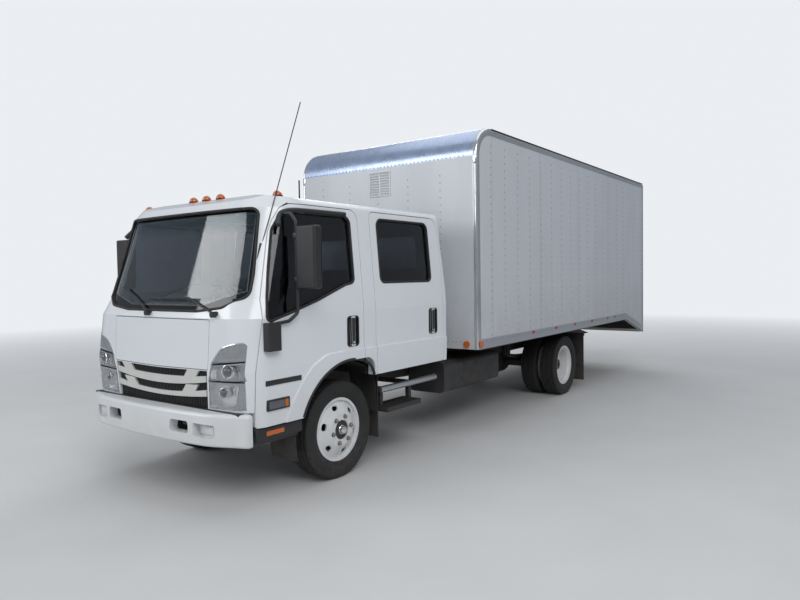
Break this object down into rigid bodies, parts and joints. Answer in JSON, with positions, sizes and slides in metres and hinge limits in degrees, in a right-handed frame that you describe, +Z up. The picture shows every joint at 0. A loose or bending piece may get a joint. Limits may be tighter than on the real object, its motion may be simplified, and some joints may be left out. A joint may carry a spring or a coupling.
{
  "type": "box truck",
  "caption": "Four-door forward-control box truck with a load body whose floor slopes down to a rear ramp door; wheels, steering, doors, lid and ramp move.",
  "frame": {"origin": "centre of the footprint on the ground", "axes": "+X to the left side of the truck, +Y to the rear, +Z up"},
  "size_m": [2.565, 8.8628, 3.1799],
  "materials": {
    "cab_paint": "gloss white paint",
    "chassis_paint": "satin black paint",
    "cast_parts": "as cast",
    "exhaust_steel": "dull steel",
    "black_plastic": "matt black",
    "grille_paint": "satin silver bars on black",
    "seat_cloth": "woven cloth",
    "clear_glass": "clear",
    "tinted_glass": "dark tint",
    "lamp_lens": "clear lens",
    "amber_lens": "amber lens",
    "red_lens": "red lens",
    "body_rail": "brushed extrusion",
    "flap_rubber": "matt",
    "wheel_paint": "gloss white paint",
    "tyre_rubber": "matt",
    "floor_wood": "oiled hardwood",
    "body_sheet": "white sheet with rivets",
    "roof_sheet": "mill finish",
    "portal_metal": "white paint",
    "ramp_metal": "mill finish"
  },
  "bodies": {
    "truck": {"antenna": "black_plastic", "body_sills": "chassis_paint", "box_front": "body_sheet", "box_rails": "body_rail", "box_roof": "roof_sheet", "box_sides": "body_sheet", "cab_back": "cab_paint", "cab_floor": "black_plastic", "cab_front": "cab_paint", "cab_glass": "clear_glass", "cab_roof": "cab_paint", "cab_sides": "cab_paint", "chassis_frame": "chassis_paint", "dashboard": "black_plastic", "drive_shaft": "chassis_paint", "engine_block": "cast_parts", "exhaust": "exhaust_steel", "floor_beams": "chassis_paint", "front_axle": "chassis_paint", "front_bumper": "cab_paint", "fuel_tank": "chassis_paint", "gearbox": "cast_parts", "grille": "grille_paint", "headlamps": "lamp_lens", "leaf_springs": "chassis_paint", "load_floor": "floor_wood", "marker_lamps": "amber_lens", "mud_flaps": "flap_rubber", "rear_axle": "chassis_paint", "rear_portal": "portal_metal", "seats": "seat_cloth", "side_steps": "chassis_paint", "tail_lamps": "red_lens", "wipers": "black_plastic"},
    "door_front_left": {"door_front_left": "cab_paint", "window_front_left": "tinted_glass", "mirror_left": "black_plastic"},
    "door_front_right": {"door_front_right": "cab_paint", "window_front_right": "tinted_glass", "mirror_right": "black_plastic"},
    "door_rear_left": {"door_rear_left": "cab_paint", "window_rear_left": "tinted_glass"},
    "door_rear_right": {"door_rear_right": "cab_paint", "window_rear_right": "tinted_glass"},
    "service_lid": {"service_lid": "cab_paint"},
    "knuckle_left": {"knuckle_left": "chassis_paint"},
    "knuckle_right": {"knuckle_right": "chassis_paint"},
    "wheel_front_left": {"rim_front_left": "wheel_paint", "tyre_front_left": "tyre_rubber"},
    "wheel_front_right": {"rim_front_right": "wheel_paint", "tyre_front_right": "tyre_rubber"},
    "wheels_rear_left": {"rim_rear_left": "wheel_paint", "tyre_rear_left": "tyre_rubber"},
    "wheels_rear_right": {"rim_rear_right": "wheel_paint", "tyre_rear_right": "tyre_rubber"},
    "ramp_door": {"ramp_door": "ramp_metal"}
  },
  "joints": [
    {"name": "steer_left", "type": "hinge", "parent": "truck", "child": "knuckle_left", "pos_m": [0.73, -3.2415, 0.4], "axis": [0, 0, 1], "range_deg": [-35, 35]},
    {"name": "roll_front_left", "type": "hinge", "parent": "knuckle_left", "child": "wheel_front_left", "pos_m": [0.8325, -3.2415, 0.4], "axis": [1, 0, 0], "continuous": true},
    {"name": "roll_rear_left", "type": "hinge", "parent": "truck", "child": "wheels_rear_left", "pos_m": [0.835, 1.2285, 0.4], "axis": [1, 0, 0], "continuous": true},
    {"name": "swing_front_left", "type": "hinge", "parent": "truck", "child": "door_front_left", "pos_m": [1.037, -4.1845, 1.35], "axis": [0, 0, -1], "range_deg": [0, 70]},
    {"name": "swing_rear_left", "type": "hinge", "parent": "truck", "child": "door_rear_left", "pos_m": [1.05, -2.8725, 1.45], "axis": [0, 0, -1], "range_deg": [0, 75]},
    {"name": "steer_right", "type": "hinge", "parent": "truck", "child": "knuckle_right", "pos_m": [-0.73, -3.2415, 0.4], "axis": [0, 0, 1], "range_deg": [-35, 35]},
    {"name": "roll_front_right", "type": "hinge", "parent": "knuckle_right", "child": "wheel_front_right", "pos_m": [-0.8325, -3.2415, 0.4], "axis": [1, 0, 0], "continuous": true},
    {"name": "roll_rear_right", "type": "hinge", "parent": "truck", "child": "wheels_rear_right", "pos_m": [-0.835, 1.2285, 0.4], "axis": [1, 0, 0], "continuous": true},
    {"name": "swing_front_right", "type": "hinge", "parent": "truck", "child": "door_front_right", "pos_m": [-1.037, -4.1845, 1.35], "axis": [0, 0, 1], "range_deg": [0, 70]},
    {"name": "swing_rear_right", "type": "hinge", "parent": "truck", "child": "door_rear_right", "pos_m": [-1.05, -2.8725, 1.45], "axis": [0, 0, 1], "range_deg": [0, 75]},
    {"name": "lift_lid", "type": "hinge", "parent": "truck", "child": "service_lid", "pos_m": [0, -4.2835, 1.364], "axis": [-1, 0, 0], "range_deg": [0, 80]},
    {"name": "lower_ramp", "type": "hinge", "parent": "truck", "child": "ramp_door", "pos_m": [0, 4.4155, 0.733], "axis": [-1, 0, 0], "range_deg": [0, 108]}
  ],
  "couplings": [
    {"joint": "steer_right", "follows": "steer_left", "ratio": 1}
  ]
}
